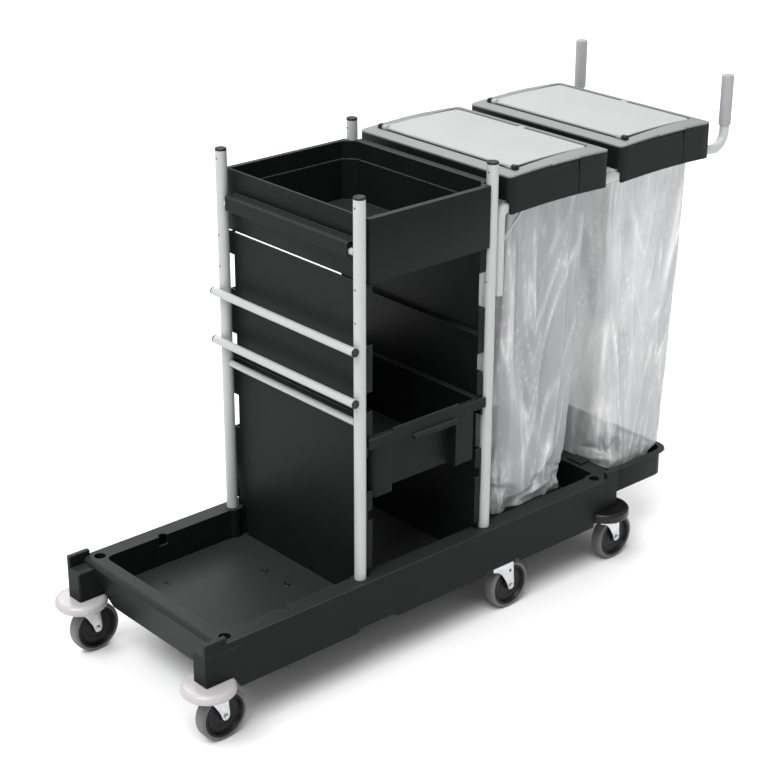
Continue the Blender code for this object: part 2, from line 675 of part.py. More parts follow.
def crested(ring, front):
    """Raise a ring's inner edge behind the hinge, so that its sides and rear slope up to the flap."""
    start, full = front + HINGE_INSET + 0.010, front + HINGE_INSET + 0.050
    for vertex in ring.data.vertices:
        outside = max(abs(vertex.co.y) - RING_INNER_HALF, vertex.co.x - front - LID_LENGTH + RING_REAR)
        slope = 1 - min(max(outside / (LID_HALF_WIDTH - RING_INNER_HALF), 0), 1)
        rise = min(max((vertex.co.x - start) / (full - start), 0), 1)
        if vertex.co.z > RING_TOP - 0.002:
            vertex.co.z += (RING_CREST - RING_TOP) * slope * rise
    return ring


def lid_frame(name, front):
    """The black frame of a lid unit: a skirt that hides the bag's rim, a deck and a collar for the bag."""
    rear = front + LID_LENGTH
    wide = LID_HALF_WIDTH
    frame = soften(plate(rounded(front, rear, wide, 0.012), SKIRT_BOTTOM, DECK_TOP), 0.0008, 1)
    cut(frame, plate(rounded(front + 0.003, rear - 0.003, wide - 0.003, 0.009), 1.02, DECK_TOP - 0.005))
    join(frame, plate(rounded(front + 0.051, rear - 0.048, 0.216, 0.020), 1.095, DECK_TOP - 0.002))
    cut(frame, plate(rounded(front + 0.055, rear - 0.052, 0.212, 0.018), 1.05, DECK_TOP + 0.02))
    cut(frame, box((front - 0.01, -0.2585, 1.0), (front + 0.010, 0.2585, 1.0745)))
    for _, side in SIDES:
        cut(frame, box((rear - 0.01, side * 0.2305, 1.0), (rear + 0.01, side * 0.2586, 1.0710)))
    corner = 0.012
    low, turn = SKIRT_BOTTOM - 0.01, (front + corner, SKIRT_BOTTOM + corner)
    outline = [(front - 0.01, low), (turn[0], low)] + arc(turn, corner, 270, 180, 4)
    cut(frame, plate(outline + [(front - 0.01, turn[1])], -0.3, 0.3, "Y"))
    top = DECK_TOP - 0.0008
    for _, side in SIDES:
        near, far = side * (wide - 0.0012), side * (wide + 0.01)
        recess = box((front + LATCH[0], near, 1.1200), (front + LATCH[1], far, top))
        seam = box((front + 0.2325, near, 1.0), (front + 0.2340, far, top))
        cut(frame, recess, seam)
    cut(arched(frame, front), *knob_pockets(front))
    keep(renamed(frame, f"lid_frame_{name}"), "black_plastic")


def lid_ring(name, front):
    """The grey ring on the frame. It slopes up to the flap and has a latch tab on each side."""
    rear, low, edge = front + LID_LENGTH, DECK_TOP + GAP, 0.0012
    outer = rounded(front, rear, LID_HALF_WIDTH, 0.012)
    shoulder = rounded(front + edge, rear - edge, LID_HALF_WIDTH - edge, 0.0108)
    inner = rounded(front + 0.0385, rear - RING_REAR, RING_INNER_HALF, 0.014)
    loops = ((outer, low), (outer, RING_TOP - edge), (shoulder, RING_TOP), (inner, RING_TOP), (inner, low))
    shape = bmesh.new()
    rows = [[shape.verts.new((x, y, z)) for x, y in outline] for outline, z in loops]
    for lower, upper in zip(rows, rows[1:] + rows[:1]):
        for k in range(len(lower)):
            after = (k + 1) % len(lower)
            shape.faces.new((lower[k], lower[after], upper[after], upper[k]))
    bmesh.ops.recalc_face_normals(shape, faces=shape.faces)
    mesh = bpy.data.meshes.new(name)
    shape.to_mesh(mesh)
    shape.free()
    ring = place(f"lid_ring_{name}", mesh)
    for _, side in SIDES:
        y = sorted((side * 0.2585, side * 0.2650))
        join(ring, box((front + LATCH[0], y[0], low), (front + LATCH[1], y[1], RING_TOP - 0.0006)))
    arched(crested(ring, front), front)
    cut(ring, box((rear - 0.04, -0.0125, FLAP_TOP - 0.0025), (rear - 0.026, 0.0125, RING_CREST + 0.01)))
    cut(ring, *knob_pockets(front))
    keep(ring, "ring_grey")


def lid_flap(name, front):
    """The hinged flap, with a rolled front edge and a tongue at its rear. Its origin is on its axis."""
    axis_x, rear, half = front + HINGE_INSET, front + LID_LENGTH - 0.040, 0.2245
    tight, wide = 0.012, 0.022
    far_side = arc((rear - tight, half - tight), tight, 0, 90, 3)
    far_side += arc((axis_x - 0.0035 + wide, half - wide), wide, 90, 180, 4)
    outline = far_side + [(x, -y) for x, y in reversed(far_side)]
    flap = soften(plate(outline, FLAP_TOP - 0.0045, FLAP_TOP), 0.001, 1)
    tongue = box((rear - 0.010, -0.0102, FLAP_TOP - 0.0033), (rear + 0.0125, 0.0102, FLAP_TOP + 0.0006))
    join(flap, soften(tongue, 0.001, 1))
    arched(flap, front)
    join(flap, rod(BARREL_RADIUS, (axis_x, -0.2200, HINGE_HEIGHT), (axis_x, 0.2200, HINGE_HEIGHT), 16))
    for _, side in SIDES:
        start, end = side * 0.2080, side * 0.2240
        join(flap, rod(KNUCKLE_RADIUS, (axis_x, start, HINGE_HEIGHT), (axis_x, end, HINGE_HEIGHT), 16))
    cut(flap, rod(0.0034, (axis_x, -0.3, HINGE_HEIGHT), (axis_x, 0.3, HINGE_HEIGHT), 12))
    flap.data.transform(Matrix.Translation((-axis_x, 0, -HINGE_HEIGHT)))
    flap.location = (axis_x, 0, HINGE_HEIGHT)
    keep(renamed(flap, f"lid_flap_{name}"), "flap_grey")


def hinge_rod(name, front):
    end, radius = KNOB_END, KNOB_RADIUS
    knob = [(0, end), (radius - 0.002, end), (radius, end - 0.002), (radius, end - 0.0118)]
    knob.append((0.003, end - 0.0125))
    knob += [(distance, -length) for distance, length in reversed(knob)]
    pin = lie_along_y(turned(knob, 16, ring=False))
    pin.data.transform(Matrix.Translation((front + HINGE_INSET, 0, HINGE_HEIGHT)))
    keep(renamed(pin, f"hinge_rod_{name}"), "cap_plastic")


def bag_liner(name, levels, wall=0.0015):
    """A bag hung open from its collar. Levels are (height, front, rear, half width, corner), from the top."""
    shape = bmesh.new()

    def loop(height, front, rear, half, corner, inset):
        outline = rounded(front + inset, rear - inset, half - inset, corner - inset)
        return [shape.verts.new((x, y, height)) for x, y in outline]

    outside = [loop(*level, 0) for level in levels]
    inside = [loop(*level, wall) for level in levels[:-1]]
    height, *floor = levels[-1]
    inside.append(loop(height + wall, *floor, wall))
    count = len(outside[0])
    skin = outside[::-1] + inside
    for lower, upper in zip(skin, skin[1:]):
        for k in range(count):
            after = (k + 1) % count
            shape.faces.new((lower[k], lower[after], upper[after], upper[k]))
    shape.faces.new(outside[-1])
    shape.faces.new(inside[-1])
    bmesh.ops.recalc_face_normals(shape, faces=shape.faces)
    mesh = bpy.data.meshes.new(name)
    shape.to_mesh(mesh)
    shape.free()
    keep(place(name, mesh), "bag_film")


def bag_section():
    for name, front in zip(("front", "rear"), LID_X):
        lid_frame(name, front)
        lid_ring(name, front)
        lid_flap(name, front)
        hinge_rod(name, front)
    mouth = [(1.105, 0.049, 0.046, 0.2180, 0.022), (1.060, 0.036, 0.031, 0.2250, 0.03)]
    mouth += [(1.034, 0.022, 0.018, 0.2370, 0.04), (0.980, 0.015, 0.014, 0.2390, 0.045)]
    front_bag = [(0.620, 0.016, 0.034, 0.2320, 0.045), (0.330, 0.019, 0.046, 0.2180, 0.04)]
    front_bag.append((0.228, 0.031, 0.052, 0.2050, 0.04))
    rear_bag = [(0.620, 0.034, 0.044, 0.2320, 0.045), (0.330, 0.048, 0.056, 0.2180, 0.04)]
    rear_bag += [(0.262, 0.054, 0.064, 0.2140, 0.04), (0.242, 0.057, 0.0775, 0.2100, 0.04)]
    rear_bag.append((0.184, 0.062, 0.080, 0.2050, 0.04))
    for name, front, lower in (("bag_front", LID_X[0], front_bag), ("bag_rear", LID_X[1], rear_bag)):
        rear = front + LID_LENGTH
        bag_liner(name, [(z, front + a, rear - b, half, corner) for z, a, b, half, corner in mouth + lower])
    side_arms()
    handle_grips()


# ---- The cart -----------------------------------------------------------------------------------------
clear_scene()
PAINTS = {name: make_material(name) for name in MATERIALS}
PARTS = bpy.data.collections.new("housekeeping_cart")
bpy.context.scene.collection.children.link(PARTS)
CART = place("cart", None)
CART.location = (-MIDDLE, 0, 0)

base_tray()
extension_tray()
castors()
front_bumpers()
rear_bumpers()
posts()
cross_tubes()
hanging_rails()
side_panel("side_panel_front", CABINET_FRONT, 1)
side_panel("side_panel_rear", CABINET_REAR, -1)
top_bin()
drawer()
bag_section()
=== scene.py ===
"""The looks of the housekeeping cart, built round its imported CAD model.

Metres, in the frame's own coordinates: +X along the cart to the push handles, +Y across it, floor at z = 0.
"""

import json
import math

import bmesh
import bpy
import numpy as np
from mathutils import Matrix, Vector

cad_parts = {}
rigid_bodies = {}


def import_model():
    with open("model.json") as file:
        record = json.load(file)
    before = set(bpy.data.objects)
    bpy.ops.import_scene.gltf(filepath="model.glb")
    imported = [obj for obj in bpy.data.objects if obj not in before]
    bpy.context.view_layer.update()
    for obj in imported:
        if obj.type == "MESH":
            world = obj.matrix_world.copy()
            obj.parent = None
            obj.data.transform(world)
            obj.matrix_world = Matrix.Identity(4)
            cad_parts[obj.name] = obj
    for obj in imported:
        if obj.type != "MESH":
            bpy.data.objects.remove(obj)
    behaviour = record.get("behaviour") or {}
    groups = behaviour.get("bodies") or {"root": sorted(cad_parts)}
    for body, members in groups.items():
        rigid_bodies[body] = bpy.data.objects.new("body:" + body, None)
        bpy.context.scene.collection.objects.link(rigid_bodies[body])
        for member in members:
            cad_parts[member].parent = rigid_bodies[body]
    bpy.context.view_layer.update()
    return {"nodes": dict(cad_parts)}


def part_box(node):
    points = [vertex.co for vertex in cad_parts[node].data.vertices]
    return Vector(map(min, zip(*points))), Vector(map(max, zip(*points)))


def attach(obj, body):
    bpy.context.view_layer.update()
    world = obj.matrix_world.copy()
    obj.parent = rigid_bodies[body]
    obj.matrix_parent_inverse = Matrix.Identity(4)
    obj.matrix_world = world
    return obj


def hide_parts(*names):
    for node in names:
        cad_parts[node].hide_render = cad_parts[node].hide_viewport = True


for found in list(bpy.data.objects):
    bpy.data.objects.remove(found)

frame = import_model()
NODES = frame["nodes"]

SIDES = (("near", -1), ("far", 1))
CASTOR_ROWS = ("front", "middle", "rear")
ROUND = 48  # sides of a turned piece


# ---- Camera, light and floor --------------------------------------------------------------------------
def make_camera():
    """A long lens, looking down on the low end of the cart and its near side."""
    azimuth, elevation, roll = (math.radians(a) for a in (-41.744, 23.595, 0.244))
    forward = Vector((-math.sin(azimuth) * math.cos(elevation), math.cos(azimuth) * math.cos(elevation), 0))
    forward.z = -math.sin(elevation)
    level = Vector((math.cos(azimuth), math.sin(azimuth), 0))
    right = Matrix.Rotation(-roll, 3, forward) @ level
    data = bpy.data.cameras.new("photo_camera")
    data.sensor_width = 36
    data.lens = 86.83
    camera = bpy.data.objects.new("photo_camera", data)
    bpy.context.scene.collection.objects.link(camera)
    place = Matrix((right, right.cross(forward), -forward)).transposed().to_4x4()
    place.translation = (-2.8830, -3.1706, 2.4088)
    camera.matrix_world = place
    bpy.context.scene.camera = camera


def make_world():
    """A soft studio dome, brightest overhead, with more light from the cart's low end and from behind it."""
    world = bpy.data.worlds.new("studio")
    world.use_nodes = True
    nodes, links = world.node_tree.nodes, world.node_tree.links
    place = nodes.new("ShaderNodeTexCoord")
    towards = nodes.new("ShaderNodeVectorMath")
    towards.operation = "DOT_PRODUCT"
    towards.inputs[1].default_value = (-0.20, 0.12, 0.80)
    links.new(place.outputs["Generated"], towards.inputs[0])
    ramp = nodes.new("ShaderNodeValToRGB")
    ramp.color_ramp.elements[0].position = 0.0
    ramp.color_ramp.elements[0].color = (0.20, 0.20, 0.205, 1)
    ramp.color_ramp.elements[1].position = 0.75
    ramp.color_ramp.elements[1].color = (1.0, 1.0, 1.0, 1)
    links.new(towards.outputs["Value"], ramp.inputs[0])
    links.new(ramp.outputs[0], nodes["Background"].inputs["Color"])
    nodes["Background"].inputs["Strength"].default_value = 1.0
    bpy.context.scene.world = world


def make_sun(name, direction, strength, spread):
    """A soft distant light that travels along direction. spread is its apparent size in degrees."""
    data = bpy.data.lights.new(name, "SUN")
    data.energy = strength
    data.angle = math.radians(spread)
    light = bpy.data.objects.new(name, data)
    bpy.context.scene.collection.objects.link(light)
    light.rotation_mode = "QUATERNION"
    light.rotation_quaternion = Vector(direction).to_track_quat("-Z", "Y")


def make_floor():
    shape = bmesh.new()
    bmesh.ops.create_grid(shape, x_segments=1, y_segments=1, size=40)
    mesh = bpy.data.meshes.new("floor")
    shape.to_mesh(mesh)
    shape.free()
    floor = bpy.data.objects.new("floor", mesh)
    bpy.context.scene.collection.objects.link(floor)
    material = bpy.data.materials.new("pale_floor")
    material.use_nodes = True
    shader = material.node_tree.nodes["Principled BSDF"]
    shader.inputs["Base Color"].default_value = (0.88, 0.88, 0.885, 1)
    shader.inputs["Roughness"].default_value = 0.9
    shader.inputs["Specular IOR Level"].default_value = 0.1
    mesh.materials.append(material)


# ---- Materials ----------------------------------------------------------------------------------------
def surface(
    name, colour, roughness, grain, depth, tint=0.12, blotch=9.0, edge=0.0, painted_top_light=0.0, radius=0.0012, **sockets
):
    """A moulded, painted or plated surface.

    grain is the size of its texture in metres and depth how far it stands proud. Its colour and roughness
    vary by tint over patches, blotch of them in a metre. edge paints a highlight on its upper corners, and
    the amount after it paints what faces up lighter, as the light from above falls on it.
    """
    material = bpy.data.materials.new(name)
    material.use_nodes = True
    nodes, links = material.node_tree.nodes, material.node_tree.links
    shader = nodes["Principled BSDF"]
    place = nodes.new("ShaderNodeTexCoord")

    patches = nodes.new("ShaderNodeTexNoise")
    patches.inputs["Scale"].default_value = blotch
    patches.inputs["Detail"].default_value = 4
    links.new(place.outputs["Object"], patches.inputs["Vector"])
    shade = nodes.new("ShaderNodeValToRGB")
    for element, position, gain in zip(shade.color_ramp.elements, (0.3, 0.7), (1 - tint, 1 + tint)):
        element.position = position
        element.color = (*(min(1, c * gain) for c in colour), 1)
    links.new(patches.outputs["Fac"], shade.inputs["Fac"])
    gloss = nodes.new("ShaderNodeMapRange")
    gloss.inputs["To Min"].default_value = roughness * (1 - tint)
    gloss.inputs["To Max"].default_value = roughness * (1 + tint)
    links.new(patches.outputs["Fac"], gloss.inputs["Value"])
    links.new(gloss.outputs["Result"], shader.inputs["Roughness"])

    round_edge = nodes.new("ShaderNodeBevel")
    round_edge.samples = 4
    round_edge.inputs["Radius"].default_value = radius
    texture = nodes.new("ShaderNodeTexNoise")
    texture.inputs["Scale"].default_value = 1 / grain
    texture.inputs["Detail"].default_value = 2
    links.new(place.outputs["Object"], texture.inputs["Vector"])
    bump = nodes.new("ShaderNodeBump")
    bump.inputs["Distance"].default_value = depth
    links.new(texture.outputs["Fac"], bump.inputs["Height"])
    links.new(round_edge.outputs["Normal"], bump.inputs["Normal"])
    links.new(bump.outputs["Normal"], shader.inputs["Normal"])

    paint = shade.outputs["Color"]
    # Painted light: a painted highlight along the upper corners, and a painted lighter tone on what faces up.
    if edge:
        flat = nodes.new("ShaderNodeNewGeometry")
        turn = nodes.new("ShaderNodeVectorMath")
        turn.operation = "DOT_PRODUCT"
        links.new(round_edge.outputs["Normal"], turn.inputs[0])
        links.new(flat.outputs["Normal"], turn.inputs[1])
        corner = nodes.new("ShaderNodeMapRange")
        corner.inputs["From Min"].default_value = 0.995
        corner.inputs["From Max"].default_value = 0.85
        corner.inputs["To Max"].default_value = edge
        links.new(turn.outputs["Value"], corner.inputs["Value"])
        height = nodes.new("ShaderNodeSeparateXYZ")
        links.new(round_edge.outputs["Normal"], height.inputs[0])
        facing_up = nodes.new("ShaderNodeMapRange")
        facing_up.inputs["From Min"].default_value = 0.15
        facing_up.inputs["From Max"].default_value = 0.55
        links.new(height.outputs["Z"], facing_up.inputs["Value"])
        highlight_mask = nodes.new("ShaderNodeMath")
        highlight_mask.operation = "MULTIPLY"
        links.new(corner.outputs["Result"], highlight_mask.inputs[0])
        links.new(facing_up.outputs["Result"], highlight_mask.inputs[1])
        # A painted highlight: the masked upper corners are mixed towards a light tone.
        painted_edge_highlight = nodes.new("ShaderNodeMix")
        painted_edge_highlight.data_type = "RGBA"
        # settled mixes in a painted lighter tone on what faces up, standing in for the light from above.
        settled = nodes.new("ShaderNodeMix")
        settled.data_type = "RGBA"
        links.new(facing_up.outputs["Result"], settled.inputs["Factor"])
        links.new(paint, settled.inputs["A"])
        settled.inputs["B"].default_value = (*(c + painted_top_light for c in colour), 1)
        links.new(highlight_mask.outputs["Value"], painted_edge_highlight.inputs["Factor"])
        links.new(settled.outputs["Result"], painted_edge_highlight.inputs["A"])
        painted_edge_highlight.inputs["B"].default_value = (*(min(1, c * 1.5 + 0.16) for c in colour), 1)
        paint = painted_edge_highlight.outputs["Result"]
    links.new(paint, shader.inputs["Base Color"])
    for socket, value in sockets.items():
        shader.inputs[socket.replace("_", " ")].default_value = value
    return material


def film_material():
    """Thin clear film, milky, with painted highlights along its creases."""
    material = bpy.data.materials.new("bag_film")
    material.use_nodes = True
    nodes, links = material.node_tree.nodes, material.node_tree.links
    shader = nodes["Principled BSDF"]
    place = nodes.new("ShaderNodeTexCoord")
    stretch = nodes.new("ShaderNodeMapping")
    stretch.inputs["Scale"].default_value = (1, 1, 0.25)
    links.new(place.outputs["Object"], stretch.inputs["Vector"])
    haze = nodes.new("ShaderNodeTexNoise")
    haze.inputs["Scale"].default_value = 9
    haze.inputs["Detail"].default_value = 3
    haze.inputs["Distortion"].default_value = 1.0
    links.new(stretch.outputs["Vector"], haze.inputs["Vector"])
    density = nodes.new("ShaderNodeMapRange")
    density.inputs["From Min"].default_value = 0.35
    density.inputs["From Max"].default_value = 0.70
    density.inputs["To Min"].default_value = 0.50
    density.inputs["To Max"].default_value = 0.74
    links.new(haze.outputs["Fac"], density.inputs["Value"])
    # Painted highlight: along the creases the film is painted denser and lighter, standing in for the shine
    # of its folds.
    highlight_on_creases = nodes.new("ShaderNodeAttribute")
    highlight_on_creases.attribute_name = "crease_highlight"
    denser = nodes.new("ShaderNodeMath")
    denser.operation = "MULTIPLY_ADD"
    denser.use_clamp = True
    denser.inputs[1].default_value = 0.22
    links.new(highlight_on_creases.outputs["Fac"], denser.inputs[0])
    links.new(density.outputs["Result"], denser.inputs[2])
    links.new(denser.outputs["Value"], shader.inputs["Alpha"])
    tone = nodes.new("ShaderNodeValToRGB")
    tone.color_ramp.elements[0].color = (0.43, 0.435, 0.44, 1)
    tone.color_ramp.elements[1].color = (0.82, 0.82, 0.825, 1)
    links.new(highlight_on_creases.outputs["Fac"], tone.inputs["Fac"])
    links.new(tone.outputs["Color"], shader.inputs["Base Color"])
    fine = nodes.new("ShaderNodeTexNoise")
    fine.inputs["Scale"].default_value = 70
    fine.inputs["Detail"].default_value = 5
    fine.inputs["Distortion"].default_value = 0.8
    links.new(stretch.outputs["Vector"], fine.inputs["Vector"])
    bump = nodes.new("ShaderNodeBump")
    bump.inputs["Distance"].default_value = 0.0012
    links.new(fine.outputs["Fac"], bump.inputs["Height"])
    links.new(bump.outputs["Normal"], shader.inputs["Normal"])
    shader.inputs["Roughness"].default_value = 0.20
    shader.inputs["IOR"].default_value = 1.5
    return material


def make_materials():
    black, ring, flap = (0.0080, 0.0092, 0.0088), (0.185, 0.19, 0.19), (0.345, 0.35, 0.35)
    rubber, zinc = (0.010, 0.010, 0.010), (0.66, 0.67, 0.68)
    return {
        # The black plastic gets painted highlights on its upper edges and a painted lighter tone on its tops;
        # the ring gets the painted edge highlights.
        "black": surface(
            "black_plastic", black, 0.46, 0.0011, 0.00006, edge=0.9, painted_top_light=0.015, Specular_IOR_Level=0.10
        ),
        "rubber": surface("black_rubber", rubber, 0.34, 0.0020, 0.00004, Specular_IOR_Level=0.3),
        "bumper": surface("bumper_grey", (0.42, 0.405, 0.41), 0.26, 0.0030, 0.00005, tint=0.04),
        "paint": surface("post_paint", (0.43, 0.435, 0.435), 0.36, 0.0016, 0.00005, tint=0.03, radius=0.0005),
        "cap": surface("cap_plastic", (0.007, 0.007, 0.007), 0.36, 0.0012, 0.00003, Specular_IOR_Level=0.35),
        "ring": surface("ring_plastic", ring, 0.50, 0.0010, 0.00005, tint=0.05, edge=0.8),
        "flap": surface("flap_plastic", flap, 0.52, 0.0010, 0.00005, tint=0.03),
        "grip": surface("grip_rubber", (0.31, 0.31, 0.315), 0.62, 0.0009, 0.00010, tint=0.05),
        "zinc": surface("zinc_plate", zinc, 0.30, 0.0018, 0.00003, tint=0.10, blotch=60, Metallic=0.9),
        "hub": surface("hub_plastic", (0.004, 0.004, 0.004), 0.34, 0.0012, 0.00004, Specular_IOR_Level=0.25),
        "tyre": surface("tyre_rubber", (0.11, 0.11, 0.11), 0.50, 0.0015, 0.00005, tint=0.10, blotch=30),
        "film": film_material(),
    }


# ---- Mesh helpers -------------------------------------------------------------------------------------
def piece(name, shape, paint, body, nodes=(), sharp=32):
    """Make a shown piece from a bmesh: its paint, its shading, its body and the CAD nodes it stands for."""
    bmesh.ops.recalc_face_normals(shape, faces=shape.faces)
    mesh = bpy.data.meshes.new(name)
    shape.to_mesh(mesh)
    shape.free()
    return show(name, mesh, paint, body, nodes, sharp)


def show(name, mesh, paint, body, nodes=(), sharp=32):
    mesh.materials.clear()
    mesh.materials.append(PAINTS[paint])
    mesh.shade_smooth()
    mesh.set_sharp_from_angle(angle=math.radians(sharp))
    made = bpy.data.objects.new(name, mesh)
    bpy.context.scene.collection.objects.link(made)
    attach(made, body)
    if nodes:
        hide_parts(*nodes)
    return made


def turned(profile, sides=ROUND, closed=True):
    """A profile of (radius, height) points turned about Z. A closed one is a ring, an open one ends on Z."""
    shape = bmesh.new()
    angles = [2 * math.pi * k / sides for k in range(sides)]
    rings = []
    for radius, height in profile:
        if radius < 1e-7:
            rings.append([shape.verts.new((0, 0, height))] * sides)
        else:
            places = [(radius * math.cos(a), radius * math.sin(a), height) for a in angles]
            rings.append([shape.verts.new(place) for place in places])
    pairs = list(zip(rings, rings[1:]))
    if closed:
        pairs.append((rings[-1], rings[0]))
    for upper, lower in pairs:
        for k in range(sides):
            after = (k + 1) % sides
            corners = dict.fromkeys((upper[k], upper[after], lower[after], lower[k]))
            if len(corners) > 2:
                shape.faces.new(list(corners))
    return shape


def moved(shape, where=(0, 0, 0), turn=None):
    matrix = Matrix.Translation(where) @ (turn or Matrix())
    bmesh.ops.transform(shape, matrix=matrix, verts=shape.verts)
    return shape


def arc(centre, radius, first, last, steps):
    angles = [math.radians(first + (last - first) * k / steps) for k in range(steps + 1)]
    return [(centre[0] + radius * math.cos(a), centre[1] + radius * math.sin(a)) for a in angles]


def both_ways(side):
    """A profile's upper half with its mirror image below it."""
    return side + [(radius, -height) for radius, height in reversed(side)]


ALONG_Y = Matrix.Rotation(math.pi / 2, 4, "X")


def middle_of(node):
    low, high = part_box(node)
    return (low + high) / 2


def slab(outline, low, high, turn=None, bevel=0.0):
    """A flat outline given a thickness from low to high along Z, or along what turn makes of Z."""
    shape = bmesh.new()
    bottom = [shape.verts.new((u, v, low)) for u, v in outline]
    top = [shape.verts.new((u, v, high)) for u, v in outline]
    count = len(outline)
    for k in range(count):
        after = (k + 1) % count
        shape.faces.new((bottom[k], bottom[after], top[after], top[k]))
    caps = [shape.faces.new(bottom[::-1]), shape.faces.new(top)]
    if bevel:
        edges = {edge for cap in caps for edge in cap.edges}
        bmesh.ops.bevel(shape, geom=list(edges), offset=bevel, segments=2, affect="EDGES", profile=0.6)
    return moved(shape, turn=turn)


def merged(*shapes):
    """Several shapes as one, left as they are where they cross."""
    whole = shapes[0]
    for other in shapes[1:]:
        mesh = bpy.data.meshes.new("part")
        other.to_mesh(mesh)
        other.free()
        whole.from_mesh(mesh)
        bpy.data.meshes.remove(mesh)
    return whole


def bored(shape, cutters, name):
    """shape with the cutters taken out of it, as a mesh."""
    solid, tools = bpy.data.meshes.new(name), bpy.data.meshes.new(name + "_cut")
    for source, mesh in ((shape, solid), (merged(*cutters), tools)):
        bmesh.ops.recalc_face_normals(source, faces=source.faces)
        source.to_mesh(mesh)
        source.free()
    body, tool = bpy.data.objects.new(name, solid), bpy.data.objects.new(name + "_cut", tools)
    for made in (body, tool):
        bpy.context.scene.collection.objects.link(made)
    boolean = body.modifiers.new("cut", "BOOLEAN")
    boolean.operation = "DIFFERENCE"
    boolean.object = tool
    bpy.context.view_layer.update()
    mesh = bpy.data.meshes.new_from_object(body.evaluated_get(bpy.context.evaluated_depsgraph_get()))
    for made in (body, tool):
        bpy.data.objects.remove(made)
    return mesh


def carry(node, paint, sharp=32):
    """Give a CAD node its paint, and smooth shading across its gentle edges."""
    shown = NODES[node]
    mesh = shown.data
    if "custom_normal" in mesh.attributes:
        mesh.attributes.remove(mesh.attributes["custom_normal"])
    weld = shown.modifiers.new("weld", "WELD")
    weld.merge_threshold = 0.00001
    mesh.shade_smooth()
    split = shown.modifiers.new("sharp edges", "EDGE_SPLIT")
    split.split_angle = math.radians(sharp)
    mesh.materials.clear()
    mesh.materials.append(PAINTS[paint])


# ---- Castors and bumpers ------------------------------------------------------------------------------
TRAIL = 0.031  # from a castor's swivel to its axle


def wheel(row, name):
    """A tyre with a crowned tread on a dished hub with raised rings."""
    body = f"castor_wheel_{row}_{name}"
    tyre_node, hub_node = f"castor_tyre_{row}_{name}", f"castor_hub_{row}_{name}"
    low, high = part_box(tyre_node)
    centre, radius, half = (low + high) / 2, (high.z - low.z) / 2, (high.y - low.y) / 2
    shoulder = 0.0065
    tread = [(0.0530, half - 0.0012), (0.0538, half), (radius - shoulder - 0.0012, half)]
    tread += arc((radius - shoulder, half - shoulder), shoulder - 0.0004, 78, 12, 7)
    tread.append((radius, half - shoulder - 0.003))
    profile = tread + [(radius, 0)] + [(r, -z) for r, z in reversed(tread)]
    tyre = moved(turned(profile, 72), centre, ALONG_Y)
    piece(tyre_node + "_tread", tyre, "tyre", body, [tyre_node])

    rim = half - 0.0006
    face = [(0.0046, rim - 0.0004), (0.0050, rim), (0.0110, rim), (0.0122, rim - 0.001), (0.0135, 0.0092)]
    face += [(0.0150, 0.0080), (0.0255, 0.0080), (0.0263, 0.0090), (0.0277, 0.0090), (0.0285, 0.0080)]
    face += [(0.0398, 0.0080), (0.0408, 0.0095), (0.0422, 0.0095), (0.0432, 0.0080), (0.0450, 0.0080)]
    face += [(0.0462, 0.0094), (0.0474, rim - 0.0008), (0.0482, rim), (0.0512, rim), (0.0522, rim - 0.0010)]
    hub = moved(turned(both_ways(face), 64), centre, ALONG_Y)
    piece(hub_node + "_disc", hub, "hub", body, [hub_node])


def fork(row, name):
    """The pressed fork: two curved legs with a window under a crown, the swivel head and the axle's bolt."""
    body, node = f"castor_swivel_{row}_{name}", f"castor_fork_{row}_{name}"
    low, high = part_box(node)
    middle_y = (low.y + high.y) / 2
    axle = middle_of(f"castor_tyre_{row}_{name}")
    swivel_x, top = axle.x - TRAIL, 0.1299
    hip = [(0.0068, 0.0905), (0.0005, 0.1010), (-0.0075, 0.1095), (-0.0180, 0.1160), (-0.0325, 0.1200)]
    outline = [(-0.0325, top), (0.0352, top), (0.0372, 0.1260), (0.0412, 0.0660)]
    outline += arc((TRAIL, axle.z), 0.0100, -12, -158, 10) + [(0.0168, 0.0740)] + hip
    stand = Matrix.Rotation(math.pi / 2, 4, "X")
    opening = [(0.0228, 0.1035), (0.0303, 0.1035), (0.0303, 0.1110), (0.0228, 0.1110)]
    window = slab(opening, -0.05, 0.05, stand)
    legs = [slab(outline, y, y + 0.0024, stand, 0.0006) for y in (0.0176, -0.0200)]
    mesh = bored(merged(*legs), [window], node + "_legs")
    place = Matrix.Translation((swivel_x, middle_y, 0))
    mesh.transform(place)
    show(node + "_legs", mesh, "zinc", body, [node])
    plate = [(-0.0325, -0.0192), (0.0350, -0.0192), (0.0350, 0.0192), (-0.0325, 0.0192)]
    crown = slab(plate, 0.1276, top, None, 0.0008)
    head = [(0, 0.172), (0.0052, 0.172), (0.006, 0.1712), (0.006, 0.1463), (0.0118, 0.1463), (0.0140, 0.1448)]
    head += [(0.0150, 0.1425), (0.0150, 0.1372), (0.0134, 0.1362), (0.0134, 0.1346), (0.0152, 0.1336)]
    head += [(0.0152, 0.1308), (0.0140, 0.1296), (0, 0.1296)]
    top_parts = merged(crown, turned(head, 40, closed=False))
    piece(node + "_crown", moved(top_parts, (swivel_x, middle_y, 0)), "zinc", body)
    bolt = [(0, 0.0243), (0.0048, 0.0243), (0.0066, 0.0230), (0.0066, 0.0203), (0.0040, 0.0203)]
    pin = moved(turned(both_ways(bolt), 6, closed=False), axle, ALONG_Y)
    piece(node + "_axle", pin, "zinc", body, sharp=20)


def bumper_front(name):
    """A fat soft ring with a web over the castor's head."""
    node = f"front_bumper_{name}"
    low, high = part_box(node)
    centre = (low + high) / 2
    radius = (high.x - low.x) / 2
    tube = 0.0131
    ring = (radius - tube, 0.1412)
    profile = [(0.0075, 0.1543)] + arc(ring, tube, 90, -210, 22) + [(0.0075, 0.1478)]
    shape = moved(turned(profile, 80), (centre.x, centre.y, 0))
    piece(node + "_ring", shape, "bumper", "frame", [node], sharp=50)


